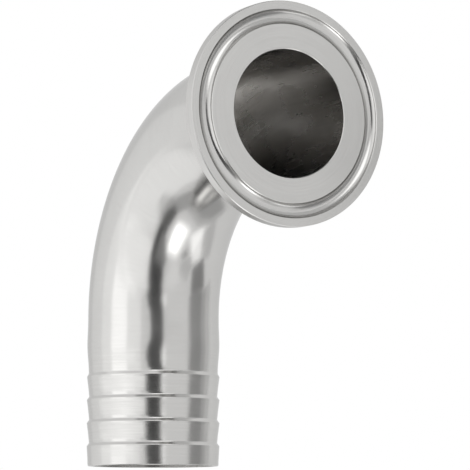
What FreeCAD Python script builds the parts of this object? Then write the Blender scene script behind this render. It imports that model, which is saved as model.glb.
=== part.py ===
# Ninety-degree elbow for hygienic tubing: a clamp ferrule at one end of a bent tube and a
# turned hose spigot with ridges at the other, welded and polished into one piece.
# Millimetres, +Z up. The origin is the middle of the ferrule's sealing face. The ferrule
# looks along +X, and the hose leg hangs down along -Z.
import FreeCAD, Part
import math
import os
import Sketcher
from FreeCAD import Vector

PARTS_FOLDER = "parts"
NODE_NAME = "elbow"

# Driving dimensions, one cell of the sheet each
DRIVING_SIZES = (
    # Tube, and the path that it follows
    ("tube_diameter", 31.2),
    ("wall_thickness", 1.2),
    ("bend_radius", 41.3),
    ("ferrule_run", 19.2),
    # Clamp ferrule
    ("flange_diameter", 50.5),
    ("rim_thickness", 2.56),
    ("back_angle", 20.0),
    ("neck_blend", 1.7),
    ("outer_land", 1.9),
    ("gasket_groove_width", 3.3),
    ("gasket_groove_depth", 1.2),
    ("gasket_groove_flank", 1.0),
    ("bore_edge_break", 0.13),
    # Hose spigot, from its free end up; rises and depths are from the tube's surface
    ("end_depth", 0.05),
    ("first_ridge_height", 4.73),
    ("ridge_count", 4),
    ("ridge_pitch", 5.49),
    ("ridge_rise", 0.18),
    ("valley_depth", 0.34),
    ("shoulder_length", 0.72),
    ("neck_depth", 0.23),
    ("neck_taper_length", 4.2),
    ("weld_rise", 0.15),
    ("weld_blend_length", 9.18),
)

# Radii, as expressions of the sheet
TUBE_RADIUS = "sizes.tube_diameter / 2"
BORE_RADIUS = "(sizes.tube_diameter / 2 - sizes.wall_thickness)"
FLANGE_RADIUS = "sizes.flange_diameter / 2"
END_RADIUS = f"{TUBE_RADIUS} - sizes.end_depth"
RIDGE_RADIUS = f"{TUBE_RADIUS} + sizes.ridge_rise"
VALLEY_RADIUS = f"{TUBE_RADIUS} - sizes.valley_depth"
NECK_RADIUS = f"{TUBE_RADIUS} - sizes.neck_depth"
WELD_RADIUS = f"{TUBE_RADIUS} + sizes.weld_rise"

# Heights above the spigot's free end
FIRST_RIDGE = "sizes.first_ridge_height"
FIRST_VALLEY = f"{FIRST_RIDGE} + sizes.shoulder_length"
SECOND_RIDGE = f"{FIRST_RIDGE} + sizes.ridge_pitch"
TOP_RIDGE = f"{FIRST_RIDGE} + (sizes.ridge_count - 1) * sizes.ridge_pitch"
NECK = f"{TOP_RIDGE} + sizes.shoulder_length"
WELD = f"{NECK} + sizes.neck_taper_length"
SPIGOT_LENGTH = f"{WELD} + sizes.weld_blend_length"

# Places in the plane of the bend: where the ferrule ends and the bend starts, the middle of
# the bend below that, the leg's axis, and the spigot's free end on it
FERRULE_END_ACROSS = "-sizes.ferrule_run"
BEND_CENTRE_UP = "-sizes.bend_radius"
LEG_ACROSS = "-(sizes.ferrule_run + sizes.bend_radius)"
SPIGOT_END_UP = f"-(sizes.bend_radius + {SPIGOT_LENGTH})"

# Depth of the ferrule's back taper, and the edges of the gasket groove
BACK_TAPER_DEPTH = f"({FLANGE_RADIUS} - {TUBE_RADIUS}) * tan(sizes.back_angle * 1 deg)"
GROOVE_OUTSIDE = f"{FLANGE_RADIUS} - sizes.outer_land"
GROOVE_INSIDE = f"{GROOVE_OUTSIDE} - sizes.gasket_groove_width"

# Radius of the ridge cutter's open side, which stays clear of the metal
CUTTER_CLEARANCE = 2.0
CUTTER_RADIUS = f"{RIDGE_RADIUS} + {CUTTER_CLEARANCE}"

# How near an edge's circle has to be to the one looked for
MATCH_TOLERANCE = 0.001

# Numbers by which a sketch knows its axes and its origin, and an element's own points
HORIZONTAL_AXIS, VERTICAL_AXIS = range(-1, -3, -1)
ORIGIN = HORIZONTAL_AXIS
START, END, CENTRE = range(1, 4)


def make_sheet(document):
    """The spreadsheet of driving dimensions."""
    sheet = document.addObject("Spreadsheet::Sheet", "sizes")
    for row, (name, value) in enumerate(DRIVING_SIZES, start=1):
        sheet.set(f"A{row}", name)
        sheet.set(f"B{row}", str(value))
        sheet.setAlias(f"B{row}", name)
    document.recompute()
    return sheet


def origin_plane(body, role):
    """One of the body's own origin planes."""
    for feature in body.Origin.OriginFeatures:
        if feature.Role == role:
            return feature
    raise ValueError(f"no origin plane {role}")


def add_sketch(body, name, role):
    """An empty sketch on an origin plane."""
    sketch = body.newObject("Sketcher::SketchObject", name)
    sketch.AttachmentSupport = [(origin_plane(body, role), "")]
    sketch.MapMode = "FlatFace"
    return sketch


def add_spigot_sketch(body, name):
    """An empty upright sketch whose origin is the middle of the spigot's free end."""
    sketch = add_sketch(body, name, "XZ_Plane")
    sketch.setExpression("AttachmentOffset.Base.x", LEG_ACROSS)
    sketch.setExpression("AttachmentOffset.Base.y", SPIGOT_END_UP)
    return sketch


def bind(sketch, constraint, name, expression):
    """Add a dimension to a sketch and tie it to the sheet."""
    index = sketch.addConstraint(constraint)
    sketch.renameConstraint(index, name)
    sketch.setExpression(f"Constraints.{name}", expression)


def place_point(sketch, element, point, name, across, up):
    """Hold a point at its distances from the sketch's origin, or on an axis where one is None."""
    drawn = sketch.getPoint(element, point)
    if across is None:
        sketch.addConstraint(Sketcher.Constraint("PointOnObject", element, point, VERTICAL_AXIS))
    else:
        distance = Sketcher.Constraint("DistanceX", ORIGIN, START, element, point, drawn.x)
        bind(sketch, distance, f"{name}_across", across)
    if up is None:
        sketch.addConstraint(Sketcher.Constraint("PointOnObject", element, point, HORIZONTAL_AXIS))
    else:
        distance = Sketcher.Constraint("DistanceY", ORIGIN, START, element, point, drawn.y)
        bind(sketch, distance, f"{name}_up", up)


def draw_outline(sketch, corners):
    """A closed outline of straight lines through corners given as name, across and up."""
    count = len(corners)
    rough = [Vector(index, index * index, 0) for index in range(count)]
    for index in range(count):
        sketch.addGeometry(Part.LineSegment(rough[index], rough[(index + 1) % count]), False)
    for index in range(count):
        following = (index + 1) % count
        sketch.addConstraint(Sketcher.Constraint("Coincident", index, END, following, START))
    for index, (name, across, up) in enumerate(corners):
        place_point(sketch, index, START, name, across, up)


def draw_circle(sketch, name, radius):
    """A circle round the sketch's origin."""
    sketch.addGeometry(Part.Circle(Vector(1, 1, 0), Vector(0, 0, 1), 1.0), False)
    place_point(sketch, 0, CENTRE, name, None, None)
    bind(sketch, Sketcher.Constraint("Radius", 0, 1.0), f"{name}_radius", radius)


def settle(feature, grows):
    """Recompute, and stop where the feature failed or changed the solid the wrong way."""
    feature.Document.recompute()
    if "Invalid" in feature.State or "Error" in feature.State:
        raise ValueError(f"{feature.Label} failed: {feature.State}")
    if feature.BaseFeature is None:
        return
    change = feature.Shape.Volume - feature.BaseFeature.Shape.Volume
    if (change > 0) != grows:
        raise ValueError(f"{feature.Label} changed the volume by {change}")


def add_pipe(body, kind, name, section, path, runs):
    """A round section carried along some runs of the path."""
    feature = body.newObject(kind, name)
    feature.Profile = section
    feature.Spine = (path, [f"Edge{run}" for run in runs])
    settle(feature, grows=kind == "PartDesign::AdditivePipe")


def add_turning(body, kind, name, sketch, axis):
    """An outline turned about one of its sketch's axes, as added or removed metal."""
    feature = body.newObject(kind, name)
    feature.Profile = sketch
    feature.ReferenceAxis = (sketch, [axis])
    settle(feature, grows=kind == "PartDesign::Revolution")
    return feature


def ring_edges(shape, radius, centre):
    """Names of the circular edges with this radius and centre."""
    names = []
    for number, edge in enumerate(shape.Edges, start=1):
        curve = edge.Curve
        if not isinstance(curve, Part.Circle):
            continue
        if abs(curve.Radius - radius) > MATCH_TOLERANCE:
            continue
        if curve.Center.distanceToPoint(centre) <= MATCH_TOLERANCE:
            names.append(f"Edge{number}")
    if not names:
        raise ValueError(f"no ring of radius {radius} at {centre}")
    return names


def add_chamfer(body, name, size_cell, rings, grows=False):
    """A chamfer along rings given as radius and centre."""
    base = body.Tip
    names = []
    for radius, centre in rings:
        names += ring_edges(base.Shape, radius, centre)
    feature = body.newObject("PartDesign::Chamfer", name)
    feature.Base = (base, names)
    feature.setExpression("Size", f"sizes.{size_cell}")
    settle(feature, grows)


def draw_path(sketch, sheet):
    """The bore's centre line: ferrule run, bend and hose leg."""
    bend_start = Vector(-sheet.ferrule_run, 0, 0)
    bend_centre = bend_start - Vector(0, sheet.bend_radius, 0)
    bend_end = bend_centre - Vector(sheet.bend_radius, 0, 0)
    turn = Part.Circle(bend_centre, Vector(0, 0, 1), sheet.bend_radius)
    runs = (
        Part.LineSegment(Vector(0, 0, 0), bend_start),
        Part.ArcOfCircle(turn, math.pi / 2, math.pi),
        Part.LineSegment(bend_end, bend_end - Vector(0, 1, 0)),
    )
    for run in runs:
        sketch.addGeometry(run, False)
    sketch.addConstraint(Sketcher.Constraint("Coincident", 0, START, ORIGIN, START))
    sketch.addConstraint(Sketcher.Constraint("Coincident", 0, END, 1, START))
    sketch.addConstraint(Sketcher.Constraint("Coincident", 1, END, 2, START))
    place_point(sketch, 0, END, "bend_start", FERRULE_END_ACROSS, None)
    place_point(sketch, 1, CENTRE, "bend_centre", FERRULE_END_ACROSS, BEND_CENTRE_UP)
    sketch.addConstraint(Sketcher.Constraint("Horizontal", 1, CENTRE, 1, END))
    place_point(sketch, 2, END, "spigot_end", LEG_ACROSS, SPIGOT_END_UP)


def make_ferrule(body, sheet):
    """The clamp ferrule: rim, sealing face, the tapered back that the clamp grips, and neck."""
    outline = add_sketch(body, "FerruleOutline", "XZ_Plane")
    corners = (
        ("face_middle", None, None),
        ("face_rim", None, FLANGE_RADIUS),
        ("back_rim", "-sizes.rim_thickness", FLANGE_RADIUS),
        ("taper_foot", f"-(sizes.rim_thickness + {BACK_TAPER_DEPTH})", TUBE_RADIUS),
        ("neck_end", FERRULE_END_ACROSS, TUBE_RADIUS),
        ("neck_middle", FERRULE_END_ACROSS, None),
    )
    draw_outline(outline, corners)
    add_turning(body, "PartDesign::Revolution", "Ferrule", outline, "H_Axis")
    tube_radius = sheet.tube_diameter / 2
    flange_radius = sheet.flange_diameter / 2
    taper_depth = (flange_radius - tube_radius) * math.tan(math.radians(sheet.back_angle))
    taper_foot = Vector(-sheet.rim_thickness - taper_depth, 0, 0)
    add_chamfer(body, "NeckBlend", "neck_blend", [(tube_radius, taper_foot)], grows=True)


def make_tube(body, path):
    """The bent tube, still without its bore, from the ferrule's neck to the spigot's weld."""
    section = add_sketch(body, "TubeSection", "YZ_Plane")
    section.setExpression("AttachmentOffset.Base.z", FERRULE_END_ACROSS)
    draw_circle(section, "tube", TUBE_RADIUS)
    body.Document.recompute()
    add_pipe(body, "PartDesign::AdditivePipe", "Tube", section, path, runs=(2,))


def make_spigot_blank(body):
    """The hose spigot before its ridges are cut: end taper, ridge stock, neck and weld."""
    outline = add_spigot_sketch(body, "SpigotOutline")
    corners = (
        ("end_middle", None, None),
        ("end_rim", END_RADIUS, None),
        ("first_ridge", RIDGE_RADIUS, FIRST_RIDGE),
        ("top_ridge", RIDGE_RADIUS, TOP_RIDGE),
        ("neck", NECK_RADIUS, NECK),
        ("weld", WELD_RADIUS, WELD),
        ("blend_end", TUBE_RADIUS, SPIGOT_LENGTH),
        ("top_middle", None, SPIGOT_LENGTH),
    )
    draw_outline(outline, corners)
    add_turning(body, "PartDesign::Revolution", "SpigotBlank", outline, "V_Axis")


def cut_ridges(body):
    """Turn the first gap between ridges, a short shoulder and a long taper, and repeat it."""
    outline = add_spigot_sketch(body, "RidgeGapOutline")
    corners = (
        ("open_bottom", CUTTER_RADIUS, FIRST_RIDGE),
        ("shoulder", RIDGE_RADIUS, FIRST_RIDGE),
        ("valley", VALLEY_RADIUS, FIRST_VALLEY),
        ("taper_top", RIDGE_RADIUS, SECOND_RIDGE),
        ("open_top", CUTTER_RADIUS, SECOND_RIDGE),
    )
    draw_outline(outline, corners)
    gap = add_turning(body, "PartDesign::Groove", "RidgeGap", outline, "V_Axis")
    pattern = body.newObject("PartDesign::LinearPattern", "RidgeGaps")
    pattern.Originals = [gap]
    pattern.Direction = (outline, ["V_Axis"])
    pattern.Mode = "Spacing"
    pattern.setExpression("Offset", "sizes.ridge_pitch")
    pattern.setExpression("Occurrences", "sizes.ridge_count - 1")
    body.Tip = pattern
    settle(pattern, grows=False)


def cut_gasket_groove(body):
    """The ring groove with sloping flanks that seats the gasket's bead."""
    outline = add_sketch(body, "GasketGrooveOutline", "XZ_Plane")
    corners = (
        ("outer_mouth", None, GROOVE_OUTSIDE),
        ("outer_floor", "-sizes.gasket_groove_depth", f"{GROOVE_OUTSIDE} - sizes.gasket_groove_flank"),
        ("inner_floor", "-sizes.gasket_groove_depth", f"{GROOVE_INSIDE} + sizes.gasket_groove_flank"),
        ("inner_mouth", None, GROOVE_INSIDE),
    )
    draw_outline(outline, corners)
    add_turning(body, "PartDesign::Groove", "GasketGroove", outline, "H_Axis")


def cut_bore(body, path):
    """The flow passage, the same width from the sealing face to the spigot's free end."""
    section = add_sketch(body, "BoreSection", "YZ_Plane")
    draw_circle(section, "bore", BORE_RADIUS)
    body.Document.recompute()
    add_pipe(body, "PartDesign::SubtractivePipe", "Bore", section, path, runs=(1, 2, 3))


def break_edges(body, sheet, path):
    """Small chamfers at both ends of the bore."""
    bore_radius = sheet.tube_diameter / 2 - sheet.wall_thickness
    mouths = [(bore_radius, vertex.Point) for vertex in (path.Shape.Vertexes[0], path.Shape.Vertexes[-1])]
    add_chamfer(body, "BoreEdges", "bore_edge_break", mouths)


def make_elbow(document, sheet):
    """The whole fitting as one body."""
    body = document.addObject("PartDesign::Body", "Elbow")
    body.Label = NODE_NAME
    body.Placement = FreeCAD.Placement()
    path = add_sketch(body, "CentreLine", "XZ_Plane")
    draw_path(path, sheet)
    make_ferrule(body, sheet)
    make_tube(body, path)
    make_spigot_blank(body)
    cut_ridges(body)
    cut_gasket_groove(body)
    cut_bore(body, path)
    break_edges(body, sheet, path)
    return body


def check_document(document, parts):
    """Stop where an object failed or a sub-part isn't one valid solid."""
    for item in document.Objects:
        if "Invalid" in item.State or "Error" in item.State:
            raise ValueError(f"{item.Label} failed: {item.State}")
    for part in parts:
        if part.Shape.isNull() or not part.Shape.isValid() or len(part.Shape.Solids) != 1:
            raise ValueError(f"{part.Label} is not one valid solid")


def main():
    """Build the document, check it and write each sub-part to its own file."""
    document = FreeCAD.newDocument("HoseBarbClampElbow")
    sheet = make_sheet(document)
    parts = [make_elbow(document, sheet)]
    document.recompute()
    check_document(document, parts)
    os.makedirs(PARTS_FOLDER, exist_ok=True)
    for part in parts:
        part.Shape.exportStep(os.path.join(PARTS_FOLDER, f"{part.Label}.step"))


main()
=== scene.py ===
# Looks of a ninety-degree tube elbow with a clamp ferrule and a ridged hose spigot.
# Metres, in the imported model's frame: the ferrule looks along +X and the hose leg hangs down.
import math

import bpy
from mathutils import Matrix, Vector


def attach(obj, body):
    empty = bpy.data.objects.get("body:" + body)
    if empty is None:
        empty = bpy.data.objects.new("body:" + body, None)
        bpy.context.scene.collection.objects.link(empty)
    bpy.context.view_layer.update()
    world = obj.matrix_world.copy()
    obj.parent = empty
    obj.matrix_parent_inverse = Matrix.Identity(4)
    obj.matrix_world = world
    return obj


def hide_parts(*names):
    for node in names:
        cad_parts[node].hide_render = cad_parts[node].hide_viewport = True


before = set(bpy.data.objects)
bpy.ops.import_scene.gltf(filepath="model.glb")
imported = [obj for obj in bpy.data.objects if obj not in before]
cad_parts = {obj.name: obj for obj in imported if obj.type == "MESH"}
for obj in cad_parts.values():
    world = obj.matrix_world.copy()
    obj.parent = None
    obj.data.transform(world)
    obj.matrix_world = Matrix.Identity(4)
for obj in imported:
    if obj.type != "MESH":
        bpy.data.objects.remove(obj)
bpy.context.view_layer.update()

MM = 0.001

# Sizes of the fitting in millimetres, and its angles in radians
TUBE_RADIUS = 15.6
BORE_RADIUS = 14.4
BEND_RADIUS = 41.3
BEND_TURN = math.pi / 2
BEND_LENGTH = BEND_RADIUS * BEND_TURN
FERRULE_RUN = 19.2
LEG_ACROSS = -(FERRULE_RUN + BEND_RADIUS)
LEG_TOP = -BEND_RADIUS
SPIGOT_END = -76.6
LEG_LENGTH = LEG_TOP - SPIGOT_END

# Clamp ferrule
FLANGE_RADIUS = 25.25
RIM_THICKNESS = 2.56
BACK_ANGLE = math.radians(20)
NECK_FILLET = 3.0
RIM_BREAK = 0.15
OUTER_LAND = 1.9
GROOVE_WIDTH = 3.3
GROOVE_DEPTH = 1.2
GROOVE_LIP = 0.08
BORE_BREAK = 0.13

# Hose spigot, with heights above its free end
END_RADIUS = 15.55
END_BREAK = 0.2
FIRST_RIDGE = 4.73
RIDGE_COUNT = 4
RIDGE_PITCH = 5.49
RIDGE_RADIUS = 15.78
RIDGE_LAND = 0.15
VALLEY_RADIUS = 15.26
SHOULDER_LENGTH = 0.72
CREST_REACH = 0.1
VALLEY_REACH = 0.2
TAPER_HOLLOW = 0.03
NECK_RADIUS = 15.37
NECK_TAPER = 6.6
WELD_RADIUS = 15.75
WELD_LENGTH = 0.4
WELD_BLEND = 5.1

# How finely the rings and curves are divided, and where the skin's rings are joined and smoothed
RING_POINTS = 192
BEND_STEPS = 72
FILLET_STEPS = 12
GROOVE_STEPS = 24
TAPER_STEPS = 6
BLEND_STEPS = 8
CORNER_STEPS = 4
HOLDING_GAP = 0.4
MERGE_DISTANCE = 1e-6
SMOOTH_ANGLE = math.radians(32)

# Camera, fitted to the photo's rings and outlines
CAMERA_PLACE = Vector((0.47769, -0.30703, -0.09133))
CAMERA_LOOK = Vector((-0.84719, 0.51928, 0.11239))
CAMERA_LENS = 198.89
CAMERA_SENSOR = 36.0
CAMERA_TURN = math.atan2(-CAMERA_LOOK.y, -CAMERA_LOOK.x)
NEAREST_SEEN = 0.01

# Finishes of the steel, by their order on the skin
TUBE_FINISH, TURNED_FINISH, BORE_FINISH, RIM_FINISH = range(4)

# Where the finishes meet, in millimetres. The bore's finish stops at its broken edges, the rim's
# takes in the rim's broken edges, and the spigot is turned up to this height above its free end.
BORE_FINISH_RADIUS = BORE_RADIUS + BORE_BREAK / 4
RIM_FINISH_RADIUS = FLANGE_RADIUS - RIM_BREAK * 0.9
SPIGOT_TURNED = 26.12

# What the finishes share
STRAIGHT_PLACE = "straight_place"
EDGE_TINT = (0.75, 0.75, 0.75)
LINE_DETAIL = 2
LINE_RANGE = (0.25, 0.75)
CLOUD_DETAIL = 4
CLOUD_RANGE = (0.3, 0.7)

# Studio round the fitting. Angles are degrees to the right of the camera and above the horizon,
# sizes are metres, and brightness and shade are on a scale where white paper is one.
STUDIO_MIDDLE = Vector((-0.04, 0, -0.03))
WHITE = (1, 1, 1, 1)
WORLD_LIGHT = 0.8
MATT_ROUGHNESS = 0.8
FLOOR_SHADE = 0.85
FLOOR_SIZE = 8
FLOOR_HEIGHT = -0.23

# Heights over the floor of the lowest card and the lowest light panel, and the steps up to the
# next ones, so that no two lie in one plane
CARD_LIFT = 0.001
CARD_STEP = 0.0002
PANEL_LIFT = 0.004
PANEL_STEP = 0.002

# Softboxes: name, azimuth, elevation, distance, width, height and brightness
SOFTBOXES = (
    ("key_core", -62, 9, 1.0, 0.55, 0.52, 0.45),
    ("key_wide", -61, 6, 1.1, 1.85, 2.0, 0.3),
    ("key_low", -70, -19, 0.9, 1.4, 0.4, 0.22),
    ("edge_strip", 20, -7, 0.9, 0.09, 0.17, 0.5),
    ("left_panel", -119, 3, 1.0, 0.6, 0.75, 0.13),
    ("front_panel", 19, 34, 1.0, 0.63, 0.46, 1.0),
    ("side_panel", 62, 30, 1.0, 0.24, 0.36, 1.1),
)

# Light panels on the floor: name, place ahead and to the right, length ahead, width, turn to the
# right in degrees, and brightness
FLOOR_PANELS = (
    ("floor_panel_left", 0.57, -0.57, 0.87, 0.79, -7, 0.4),
    ("floor_panel_beside", -0.08, -0.55, 0.47, 0.8, 0, 0.3),
    ("floor_panel_front", 0.1, 0.03, 0.15, 0.095, 15, 0.5),
    ("floor_panel_core", 0.092, 0.02, 0.1, 0.066, 15, 1.6),
    ("floor_panel_ahead", 0.33, 0.19, 0.3, 0.2, 0, 0.12),
    ("floor_panel_side", 0.015, 0.15, 0.08, 0.15, -17, 0.75),
)

# Hanging cards: name, shade, distance and corners as azimuth and elevation
HANGING_CARDS = (
    ("camera_card", 0.12, 0.95, (
        (-3, 14), (19, 14), (18, 3), (17, -5), (12, -7), (14.5, -9), (14.5, -18), (-13, -18), (-13, -7),
        (-9, -6), (-9, -2), (-4, 3),
    )),
    ("side_card", 0.46, 0.95, ((71, 12), (93, 12), (95, -12), (71, -12))),
    ("side_card_edge", 0.66, 1.0, ((66, 14), (103, 14), (105, -11), (66, -11))),
    ("rear_card", 0.88, 0.95, ((104, 20), (117, 20), (117, -12), (105, -12))),
    ("right_card", 0.78, 0.9, ((50, 20), (50, 64), (100, 64), (100, 20), (75, 20))),
    ("low_card", 0.75, 0.93, ((22, 11), (22, 18), (54, 18), (54, 11))),
    ("upper_card", 0.8, 0.93, ((16, 50), (16, 66), (52, 66), (52, 50))),
    ("top_card_dark", 0.25, 0.75, ((-50, 64), (10, 64), (10, 84), (-50, 84))),
    ("top_card", 0.55, 0.8, ((-45, 60), (45, 60), (135, 60), (-135, 60))),
)

# Cards on the floor: name, shade and corners as distances ahead and to the right
FLOOR_CARDS = (
    ("floor_card_dark", 0.06, (
        (0.9, -0.1), (0.9, 0.21), (0.66, 0.17), (0.6, 0.13), (0.52, 0.1), (0.42, 0.085), (0.33, 0.05),
        (0.29, 0.03), (0.27, -0.075), (0.12, -0.085), (0.1, -0.1), (0.1, -0.12), (0.153, -0.126),
        (0.42, -0.13), (0.6, -0.14), (0.75, -0.13),
    )),
    ("floor_card_soft", 0.3, (
        (0.29, 0.03), (0.24, 0.04), (0.2, 0.022), (0.165, -0.015), (0.117, -0.055), (0.12, -0.085),
        (0.27, -0.075),
    )),
    ("floor_card_near", 0.15, (
        (0.12, -0.085), (0.117, -0.055), (0.03, -0.06), (0.02, -0.105), (0.06, -0.125), (0.1, -0.12),
        (0.1, -0.1),
    )),
    ("floor_card_left", 0.62, (
        (0.1, -0.12), (0.06, -0.125), (0.02, -0.105), (0.03, -0.06), (-0.02, -0.035), (-0.08, -0.055),
        (-0.09, -0.1), (0.0, -0.125), (0.02, -0.23), (0.05, -0.23), (0.08, -0.17),
    )),
    ("floor_card_behind", 0.8, (
        (-0.005, -0.035), (-0.015, 0.065), (-0.1, 0.115), (-0.24, 0.115), (-0.24, -0.06), (-0.08, -0.05),
        (-0.02, -0.035),
    )),
    ("floor_card_back", 0.58, (
        (-0.035, -0.03), (-0.045, 0.045), (-0.1, 0.085), (-0.22, 0.085), (-0.22, -0.06), (-0.08, -0.05),
    )),
    ("floor_card_gap", 0.55, ((0.075, 0.105), (0.13, 0.11), (0.13, 0.14), (0.08, 0.15))),
    ("floor_card_front", 0.8, (
        (0.26, 0.25), (0.22, 0.36), (0.15, 0.3), (0.1, 0.255), (0.0, 0.24), (-0.045, 0.2), (-0.045, 0.12),
        (0.0, 0.14), (0.06, 0.17), (0.15, 0.15), (0.2, 0.17),
    )),
    ("floor_card_right", 0.83, (
        (-0.05, 0.12), (-0.05, 0.2), (-0.03, 0.27), (-0.13, 0.34), (-0.14, 0.11),
    )),
    ("floor_card_side", 0.36, ((0.09, 0.27), (0.33, 0.85), (-0.15, 0.88), (-0.04, 0.28))),
)


def hollow_taper(start, end, hollow, steps):
    """Points from start to end, each a height and a radius, along a shallow hollow curve."""
    points = []
    for step in range(1, steps + 1):
        share = step / steps
        height = start[0] + (end[0] - start[0]) * share
        radius = start[1] + (end[1] - start[1]) * share
        points.append((height, radius - hollow * 4 * share * (1 - share)))
    return points


def soft_blend(start, end, steps):
    """Points from start to end along a curve that leaves and arrives level."""
    points = []
    for step in range(1, steps + 1):
        share = step / steps
        ease = share * share * (3 - 2 * share)
        height = start[0] + (end[0] - start[0]) * share
        points.append((height, start[1] + (end[1] - start[1]) * ease))
    return points


def rounded_corner(before, corner, after, reach, steps):
    """Points round a corner between two straight runs, along a curve that touches each of them
    at the given reach from the corner."""
    arrive = (Vector(before) - Vector(corner)).normalized() * reach
    leave = (Vector(after) - Vector(corner)).normalized() * reach
    points = []
    for step in range(steps + 1):
        share = step / steps
        points.append(tuple(Vector(corner) + arrive * (1 - share) ** 2 + leave * share ** 2))
    return points


def arc_points(centre, radius, start_angle, end_angle, steps):
    """Points along an arc, after its first one, each a place along the axis and a radius."""
    points = []
    for step in range(1, steps + 1):
        angle = start_angle + (end_angle - start_angle) * step / steps
        points.append((centre[0] + radius * math.cos(angle), centre[1] + radius * math.sin(angle)))
    return points


def spigot_outline():
    """From the foot of the bore, round the spigot's end and up the ridges to the bend, each point
    a height above the end and a radius."""
    points = [
        (BORE_BREAK, BORE_RADIUS),
        (0, BORE_RADIUS + BORE_BREAK),
        (0, END_RADIUS - END_BREAK),
        (END_BREAK, END_RADIUS),
    ]
    for number in range(RIDGE_COUNT):
        crest = FIRST_RIDGE + number * RIDGE_PITCH
        points += hollow_taper(points[-1], (crest - RIDGE_LAND, RIDGE_RADIUS), TAPER_HOLLOW, TAPER_STEPS)
        top = (crest, RIDGE_RADIUS)
        foot = (crest + SHOULDER_LENGTH, NECK_RADIUS if number == RIDGE_COUNT - 1 else VALLEY_RADIUS)
        above = (foot[0] + RIDGE_PITCH, foot[1])
        points += rounded_corner(points[-1], top, foot, CREST_REACH, CORNER_STEPS)
        points += rounded_corner(top, foot, above, VALLEY_REACH, CORNER_STEPS)
    neck_height = points[-1][0]
    points += soft_blend(points[-1], (neck_height + NECK_TAPER, WELD_RADIUS), BLEND_STEPS)
    points.append((points[-1][0] + WELD_LENGTH, WELD_RADIUS))
    points += soft_blend(points[-1], (points[-1][0] + WELD_BLEND, TUBE_RADIUS), BLEND_STEPS)
    points.append((LEG_LENGTH, TUBE_RADIUS))
    return points


def ferrule_outline():
    """From the bend along the neck, up the back taper, round the rim, across the face and into
    the bore, each point a place along X and a radius."""
    foot = -RIM_THICKNESS - (FLANGE_RADIUS - TUBE_RADIUS) * math.tan(BACK_ANGLE)
    fillet_reach = NECK_FILLET * math.tan((math.pi / 2 - BACK_ANGLE) / 2)
    fillet_centre = (foot - fillet_reach, TUBE_RADIUS + NECK_FILLET)
    points = [(fillet_centre[0] - HOLDING_GAP, TUBE_RADIUS), (fillet_centre[0], TUBE_RADIUS)]
    points += arc_points(fillet_centre, NECK_FILLET, -math.pi / 2, -BACK_ANGLE, FILLET_STEPS)
    points += [
        (-RIM_THICKNESS - RIM_BREAK * math.tan(BACK_ANGLE), FLANGE_RADIUS - RIM_BREAK),
        (-RIM_THICKNESS + RIM_BREAK, FLANGE_RADIUS),
        (-RIM_BREAK, FLANGE_RADIUS),
        (0, FLANGE_RADIUS - RIM_BREAK),
    ]
    groove_middle = FLANGE_RADIUS - OUTER_LAND - GROOVE_WIDTH / 2
    section_radius = (GROOVE_WIDTH ** 2 / 4 + GROOVE_DEPTH ** 2) / (2 * GROOVE_DEPTH)
    section_centre = (section_radius - GROOVE_DEPTH, groove_middle)
    edge_angle = math.acos(-(section_centre[0] + GROOVE_LIP) / section_radius)
    groove_edge = (
        section_centre[0] + section_radius * math.cos(edge_angle),
        groove_middle + section_radius * math.sin(edge_angle),
    )
    points += [(0, groove_edge[1] + GROOVE_LIP), groove_edge]
    last_angle = 2 * math.pi - edge_angle
    points += arc_points(section_centre, section_radius, edge_angle, last_angle, GROOVE_STEPS)
    points += [
        (0, 2 * groove_middle - groove_edge[1] - GROOVE_LIP),
        (0, BORE_RADIUS + BORE_BREAK),
        (-BORE_BREAK, BORE_RADIUS),
        (-FERRULE_RUN, BORE_RADIUS),
    ]
    return points


def grow_ring(shift, scale, middle):
    """Extrude the selected ring, move it along its axis and widen or narrow it about that."""
    bpy.ops.mesh.extrude_edges_move(TRANSFORM_OT_translate={"value": shift})
    bpy.ops.transform.resize(value=scale, center_override=middle)


def turn_spigot(outline, start):
    """Carry the selected ring through the spigot's outline, whose heights run along +Z."""
    height, radius = start
    for next_height, next_radius in outline:
        factor = next_radius / radius
        middle = (LEG_ACROSS * MM, 0, (SPIGOT_END + next_height) * MM)
        grow_ring((0, 0, (next_height - height) * MM), (factor, factor, 1), middle)
        height, radius = next_height, next_radius


def turn_ferrule(outline, start):
    """Carry the selected ring through the ferrule's outline, whose places run along +X."""
    place, radius = start
    for next_place, next_radius in outline:
        factor = next_radius / radius
        middle = (next_place * MM, 0, 0)
        grow_ring(((next_place - place) * MM, 0, 0), (1, factor, factor), middle)
        place, radius = next_place, next_radius


def sweep_bend(angle):
    """Spin the selected ring about the middle of the bend."""
    bpy.ops.mesh.spin(
        steps=BEND_STEPS,
        angle=angle,
        center=(-FERRULE_RUN * MM, 0, -BEND_RADIUS * MM),
        axis=(0, 1, 0),
    )


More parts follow.
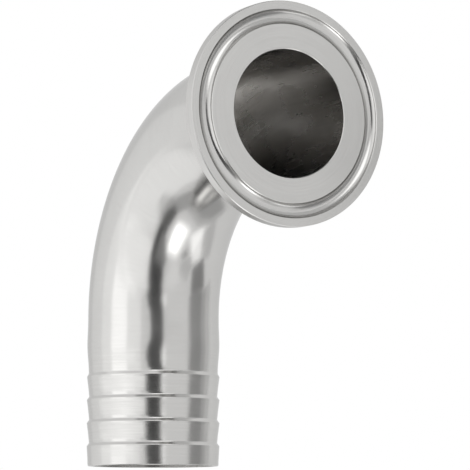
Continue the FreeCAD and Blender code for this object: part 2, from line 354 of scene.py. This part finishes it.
def make_elbow():
    """One closed skin: down the spigot's bore and up its outside, round the bend, round the
    ferrule and back through the bore to where it began."""
    bpy.ops.object.select_all(action="DESELECT")
    bpy.ops.mesh.primitive_circle_add(
        vertices=RING_POINTS,
        radius=BORE_RADIUS * MM,
        fill_type="NOTHING",
        location=(LEG_ACROSS * MM, 0, LEG_TOP * MM),
    )
    elbow = bpy.context.active_object
    elbow.name = "elbow_skin"
    bpy.ops.object.transform_apply(location=True, rotation=True, scale=True)
    bpy.ops.object.mode_set(mode="EDIT")
    bpy.ops.mesh.select_all(action="SELECT")
    turn_spigot(spigot_outline(), (LEG_LENGTH, BORE_RADIUS))
    sweep_bend(-BEND_TURN)
    turn_ferrule(ferrule_outline(), (-FERRULE_RUN, TUBE_RADIUS))
    sweep_bend(BEND_TURN)
    bpy.ops.mesh.select_all(action="SELECT")
    bpy.ops.mesh.remove_doubles(threshold=MERGE_DISTANCE)
    bpy.ops.mesh.normals_make_consistent(inside=False)
    bpy.ops.object.mode_set(mode="OBJECT")
    bpy.ops.object.shade_smooth_by_angle(angle=SMOOTH_ANGLE)
    return elbow


def straighten(place):
    """Where a point of the skin would lie if the tube were straight: its distance along the bore
    from the sealing face, and its distances from the bore's axis in and square to the plane of
    the bend, all in millimetres."""
    across = place.x / MM + FERRULE_RUN
    up = place.z / MM + BEND_RADIUS
    side = place.y / MM
    if across >= 0:
        return Vector((FERRULE_RUN - across, up - BEND_RADIUS, side))
    if up <= 0:
        return Vector((FERRULE_RUN + BEND_LENGTH - up, -BEND_RADIUS - across, side))
    turn = math.atan2(-across, up)
    return Vector((FERRULE_RUN + BEND_RADIUS * turn, math.hypot(across, up) - BEND_RADIUS, side))


def finish_at(place, neck_foot, spigot_top):
    """Which finish the skin has at a place. The ferrule is turned as far as the neck's foot, and
    the spigot from its top on. Both are given as distances along the bore."""
    along, outward, side = straighten(place)
    radius = math.hypot(outward, side)
    if radius < BORE_FINISH_RADIUS:
        return BORE_FINISH
    if radius > RIM_FINISH_RADIUS:
        return RIM_FINISH
    if along < neck_foot or along > spigot_top:
        return TURNED_FINISH
    return TUBE_FINISH


def dress_elbow(elbow, finishes):
    """Give each part of the skin its finish, and store the straightened places that the finishes'
    patterns follow."""
    for finish in finishes:
        elbow.data.materials.append(finish)
    neck_foot = -ferrule_outline()[0][0]
    spigot_top = FERRULE_RUN + BEND_LENGTH + LEG_LENGTH - SPIGOT_TURNED
    for face in elbow.data.polygons:
        face.material_index = finish_at(face.center, neck_foot, spigot_top)
    places = elbow.data.attributes.new(STRAIGHT_PLACE, "FLOAT_VECTOR", "POINT")
    for vertex, stored in zip(elbow.data.vertices, places.data):
        stored.vector = straighten(vertex.co)


def make_group(name, inputs, outputs):
    """An empty shader node group, and its input and output nodes."""
    group = bpy.data.node_groups.new(name, "ShaderNodeTree")
    for socket in inputs:
        group.interface.new_socket(name=socket, in_out="INPUT", socket_type="NodeSocketFloat")
    for socket in outputs:
        group.interface.new_socket(name=socket, in_out="OUTPUT", socket_type="NodeSocketFloat")
    return group, group.nodes.new("NodeGroupInput"), group.nodes.new("NodeGroupOutput")


def add_math(tree, operation, first, second):
    """A node that makes one value of two, by the named operation."""
    node = tree.nodes.new("ShaderNodeMath")
    node.operation = operation
    tree.links.new(first, node.inputs[0])
    tree.links.new(second, node.inputs[1])
    return node.outputs[0]


def add_range(tree, value, usual_range):
    """A node that spreads a value's usual range over nought to one."""
    spread = tree.nodes.new("ShaderNodeMapRange")
    spread.inputs["From Min"].default_value = usual_range[0]
    spread.inputs["From Max"].default_value = usual_range[1]
    tree.links.new(value, spread.inputs["Value"])
    return spread.outputs["Result"]


def make_tool_lines():
    """Fine lines left by turning or polishing. The inputs say how often they change in each
    direction, in steps a millimetre: along the bore, round it and outwards from it."""
    group, given, result = make_group("tool_lines", ("Along", "Around", "Outward"), ("Lines",))
    nodes, links = group.nodes, group.links
    straight = nodes.new("ShaderNodeAttribute")
    straight.attribute_name = STRAIGHT_PLACE
    parts = nodes.new("ShaderNodeSeparateXYZ")
    links.new(straight.outputs["Vector"], parts.inputs[0])
    section = nodes.new("ShaderNodeCombineXYZ")
    links.new(parts.outputs["Y"], section.inputs["Y"])
    links.new(parts.outputs["Z"], section.inputs["Z"])
    radius = nodes.new("ShaderNodeVectorMath")
    radius.operation = "LENGTH"
    links.new(section.outputs[0], radius.inputs[0])
    stretched = nodes.new("ShaderNodeCombineXYZ")
    for axis, steps in (("X", "Along"), ("Y", "Around"), ("Z", "Around")):
        stretch = add_math(group, "MULTIPLY", parts.outputs[axis], given.outputs[steps])
        links.new(stretch, stretched.inputs[axis])
    lines = nodes.new("ShaderNodeTexNoise")
    lines.noise_dimensions = "4D"
    lines.inputs["Scale"].default_value = 1
    lines.inputs["Detail"].default_value = LINE_DETAIL
    links.new(stretched.outputs[0], lines.inputs["Vector"])
    outwards = add_math(group, "MULTIPLY", radius.outputs["Value"], given.outputs["Outward"])
    links.new(outwards, lines.inputs["W"])
    links.new(add_range(group, lines.outputs["Fac"], LINE_RANGE), result.inputs["Lines"])
    return group


def make_handling_clouds():
    """Soft patches left by polishing and handling, as many a metre as the input says."""
    group, given, result = make_group("handling_clouds", ("Scale",), ("Clouds",))
    place = group.nodes.new("ShaderNodeTexCoord")
    clouds = group.nodes.new("ShaderNodeTexNoise")
    clouds.inputs["Detail"].default_value = CLOUD_DETAIL
    group.links.new(place.outputs["Object"], clouds.inputs["Vector"])
    group.links.new(given.outputs["Scale"], clouds.inputs["Scale"])
    group.links.new(add_range(group, clouds.outputs["Fac"], CLOUD_RANGE), result.inputs["Clouds"])
    return group


def add_group(tree, group, **values):
    """Place a node group in a material with its own values."""
    node = tree.nodes.new("ShaderNodeGroup")
    node.node_tree = group
    for name, value in values.items():
        node.inputs[name].default_value = value
    return node


def add_mix(tree, first, second, share):
    """A node that mixes two values, with the given share of the second."""
    mix = tree.nodes.new("ShaderNodeMix")
    mix.inputs["Factor"].default_value = share
    tree.links.new(first, mix.inputs["A"])
    tree.links.new(second, mix.inputs["B"])
    return mix.outputs["Result"]


def make_steel(name, lines, clouds, dull, bright, roughness, line_depth, cloud_share):
    """A steel finish. Its lines and its clouds are each a node group with its values. Where they
    are strong it has the bright colour and the lower roughness, and where they are weak the dull
    colour and the higher one. The lines are as deep as line_depth says, in metres."""
    steel = bpy.data.materials.new(name)
    steel.use_nodes = True
    tree = steel.node_tree
    shader = tree.nodes["Principled BSDF"]
    shader.inputs["Metallic"].default_value = 1
    shader.inputs["Specular Tint"].default_value = (*EDGE_TINT, 1)
    line_node = add_group(tree, lines[0], **lines[1])
    cloud_node = add_group(tree, clouds[0], **clouds[1])
    pattern = add_mix(tree, line_node.outputs["Lines"], cloud_node.outputs["Clouds"], cloud_share)
    tint = tree.nodes.new("ShaderNodeMix")
    tint.data_type = "RGBA"
    tint.inputs["A"].default_value = (*dull, 1)
    tint.inputs["B"].default_value = (*bright, 1)
    tree.links.new(pattern, tint.inputs["Factor"])
    tree.links.new(tint.outputs["Result"], shader.inputs["Base Color"])
    gloss = tree.nodes.new("ShaderNodeMapRange")
    gloss.inputs["To Min"].default_value = roughness[1]
    gloss.inputs["To Max"].default_value = roughness[0]
    tree.links.new(pattern, gloss.inputs["Value"])
    tree.links.new(gloss.outputs["Result"], shader.inputs["Roughness"])
    bump = tree.nodes.new("ShaderNodeBump")
    bump.inputs["Distance"].default_value = line_depth
    tree.links.new(line_node.outputs["Lines"], bump.inputs["Height"])
    tree.links.new(bump.outputs["Normal"], shader.inputs["Normal"])
    return steel


def make_satin_tube(lines, clouds):
    """The tube's satin polish, with fine lines round it."""
    return make_steel(
        "satin_tube",
        (lines, {"Along": 3.4, "Around": 0.2, "Outward": 0}),
        (clouds, {"Scale": 90}),
        dull=(0.525, 0.52, 0.51),
        bright=(0.565, 0.56, 0.549),
        roughness=(0.15, 0.21),
        line_depth=3.5e-6,
        cloud_share=0.5,
    )


def make_turned_steel(lines, clouds):
    """The ferrule and the spigot as they leave the lathe, with rings on the face."""
    return make_steel(
        "turned_steel",
        (lines, {"Along": 4.2, "Around": 0.09, "Outward": 3.6}),
        (clouds, {"Scale": 60}),
        dull=(0.52, 0.515, 0.505),
        bright=(0.57, 0.565, 0.553),
        roughness=(0.15, 0.21),
        line_depth=3.5e-6,
        cloud_share=0.35,
    )


def make_drawn_bore_with_painted_shade(lines, clouds):
    """The bore, with long lines from drawing the tube. Its colours are darker than the outside's, partly
    for the drawn tube's duller finish and partly as painted shade deep in the bore.
    """
    return make_steel(
        "drawn_bore_with_painted_shade",
        (lines, {"Along": 0.03, "Around": 0.9, "Outward": 0}),
        (clouds, {"Scale": 110}),
        # dull and bright are darker than the outside's colours: partly the duller drawn finish, partly
        # painted shade of the deep bore
        dull=(0.42, 0.41, 0.395),
        bright=(0.56, 0.55, 0.535),
        roughness=(0.22, 0.32),
        line_depth=5e-6,
        cloud_share=0.6,
    )


def make_brushed_rim(lines, clouds):
    """The flange's edge, brushed rougher than the rest."""
    return make_steel(
        "brushed_rim",
        (lines, {"Along": 6.5, "Around": 0.12, "Outward": 0}),
        (clouds, {"Scale": 60}),
        dull=(0.5, 0.495, 0.485),
        bright=(0.58, 0.575, 0.563),
        roughness=(0.3, 0.42),
        line_depth=4e-6,
        cloud_share=0.3,
    )


def make_finishes():
    """The four finishes of the steel, in their order on the skin."""
    lines = make_tool_lines()
    clouds = make_handling_clouds()
    makers = (make_satin_tube, make_turned_steel, make_drawn_bore_with_painted_shade, make_brushed_rim)
    return [make_finish(lines, clouds) for make_finish in makers]


def studio_place(azimuth, elevation, distance):
    """A place in the studio, by its angle to the right of the camera, its angle above the
    horizon and its distance from the middle of the fitting."""
    turn = CAMERA_TURN + math.radians(azimuth)
    rise = math.radians(elevation)
    level = math.cos(rise)
    direction = Vector((level * math.cos(turn), level * math.sin(turn), math.sin(rise)))
    return STUDIO_MIDDLE + distance * direction


def floor_place(ahead, right, lift):
    """A place just over the floor, by its distances from the middle towards the camera and to
    the camera's right."""
    towards = Vector((math.cos(CAMERA_TURN), math.sin(CAMERA_TURN), 0))
    across = Vector((-math.sin(CAMERA_TURN), math.cos(CAMERA_TURN), 0))
    place = STUDIO_MIDDLE + towards * ahead + across * right
    return Vector((place.x, place.y, FLOOR_HEIGHT + lift))


def add_lamp(name, place, width, height, brightness):
    """A light panel that the camera doesn't see but the steel mirrors."""
    bpy.ops.object.light_add(type="AREA")
    lamp = bpy.context.active_object
    lamp.name = name
    lamp.location = place
    lamp.data.shape = "RECTANGLE"
    lamp.data.size = width
    lamp.data.size_y = height
    lamp.data.energy = brightness * math.pi * width * height
    lamp.visible_camera = False
    return lamp


def add_softbox(name, azimuth, elevation, distance, width, height, brightness):
    """A softbox turned to the middle of the fitting."""
    place = studio_place(azimuth, elevation, distance)
    lamp = add_lamp(name, place, width, height, brightness)
    lamp.rotation_mode = "QUATERNION"
    lamp.rotation_quaternion = (STUDIO_MIDDLE - place).to_track_quat("-Z", "Y")


def add_floor_panel(lift, name, ahead, right, length, width, turn, brightness):
    """A light panel lying just over the floor and facing up."""
    lamp = add_lamp(name, floor_place(ahead, right, lift), width, length, brightness)
    lamp.rotation_euler = (math.pi, 0, CAMERA_TURN + math.radians(turn) + math.pi / 2)


def add_card(name, shade, places):
    """A flat matt card that only the steel mirrors, so it throws no shadow."""
    mesh = bpy.data.meshes.new(name)
    mesh.from_pydata(places, [], [tuple(range(len(places)))])
    mesh.materials.append(make_paint(name, shade))
    card = bpy.data.objects.new(name, mesh)
    bpy.context.collection.objects.link(card)
    card.visible_camera = False
    card.visible_diffuse = False
    card.visible_shadow = False


def make_paint(name, shade):
    """Matt grey paint for the floor or a card."""
    paint = bpy.data.materials.new(name)
    paint.use_nodes = True
    shader = paint.node_tree.nodes["Principled BSDF"]
    shader.inputs["Base Color"].default_value = (shade, shade, shade, 1)
    shader.inputs["Roughness"].default_value = MATT_ROUGHNESS
    shader.inputs["Specular IOR Level"].default_value = 0
    return paint


def make_floor():
    """A wide pale floor under the fitting, as white as the backdrop where the steel mirrors it."""
    bpy.ops.object.select_all(action="DESELECT")
    bpy.ops.mesh.primitive_plane_add(size=FLOOR_SIZE, location=(0, 0, FLOOR_HEIGHT))
    floor = bpy.context.active_object
    floor.name = "floor"
    paint = make_paint("pale_floor", FLOOR_SHADE)
    nodes = paint.node_tree.nodes
    links = paint.node_tree.links
    path = nodes.new("ShaderNodeLightPath").outputs
    mirrored = add_math(paint.node_tree, "MAXIMUM", path["Is Glossy Ray"], path["Is Transmission Ray"])
    white = nodes.new("ShaderNodeEmission")
    white.inputs["Strength"].default_value = 1
    mix = nodes.new("ShaderNodeMixShader")
    links.new(mirrored, mix.inputs["Fac"])
    links.new(nodes["Principled BSDF"].outputs[0], mix.inputs[1])
    links.new(white.outputs[0], mix.inputs[2])
    links.new(mix.outputs[0], nodes["Material Output"].inputs["Surface"])
    floor.data.materials.append(paint)


def make_studio():
    """Softboxes, light panels and cards round the fitting."""
    for softbox in SOFTBOXES:
        add_softbox(*softbox)
    for number, panel in enumerate(FLOOR_PANELS):
        add_floor_panel(PANEL_LIFT + number * PANEL_STEP, *panel)
    for name, shade, distance, corners in HANGING_CARDS:
        add_card(name, shade, [studio_place(*corner, distance) for corner in corners])
    for number, (name, shade, corners) in enumerate(FLOOR_CARDS):
        lift = CARD_LIFT + number * CARD_STEP
        add_card(name, shade, [floor_place(*corner, lift) for corner in corners])


def make_world():
    """White to the camera and to whatever the steel mirrors, softer as light."""
    world = bpy.data.worlds.new("white_studio")
    bpy.context.scene.world = world
    world.use_nodes = True
    nodes = world.node_tree.nodes
    links = world.node_tree.links
    nodes.clear()
    path = nodes.new("ShaderNodeLightPath").outputs
    mirrored = add_math(world.node_tree, "MAXIMUM", path["Is Glossy Ray"], path["Is Transmission Ray"])
    seen = add_math(world.node_tree, "MAXIMUM", path["Is Camera Ray"], mirrored)
    soft = nodes.new("ShaderNodeBackground")
    soft.inputs["Color"].default_value = WHITE
    soft.inputs["Strength"].default_value = WORLD_LIGHT
    white = nodes.new("ShaderNodeBackground")
    white.inputs["Color"].default_value = WHITE
    white.inputs["Strength"].default_value = 1
    mix = nodes.new("ShaderNodeMixShader")
    output = nodes.new("ShaderNodeOutputWorld")
    links.new(seen, mix.inputs["Fac"])
    links.new(soft.outputs[0], mix.inputs[1])
    links.new(white.outputs[0], mix.inputs[2])
    links.new(mix.outputs[0], output.inputs["Surface"])


def make_camera():
    """The photo's viewpoint."""
    data = bpy.data.cameras.new("camera")
    data.lens = CAMERA_LENS
    data.sensor_width = CAMERA_SENSOR
    data.clip_start = NEAREST_SEEN
    camera = bpy.data.objects.new("camera", data)
    camera.location = CAMERA_PLACE
    camera.rotation_mode = "QUATERNION"
    camera.rotation_quaternion = CAMERA_LOOK.to_track_quat("-Z", "Y")
    bpy.context.collection.objects.link(camera)
    bpy.context.scene.camera = camera


make_camera()
elbow = make_elbow()
dress_elbow(elbow, make_finishes())
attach(elbow, "root")
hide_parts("elbow")

make_floor()
make_studio()
make_world()

bpy.context.scene.view_settings.view_transform = "Standard"
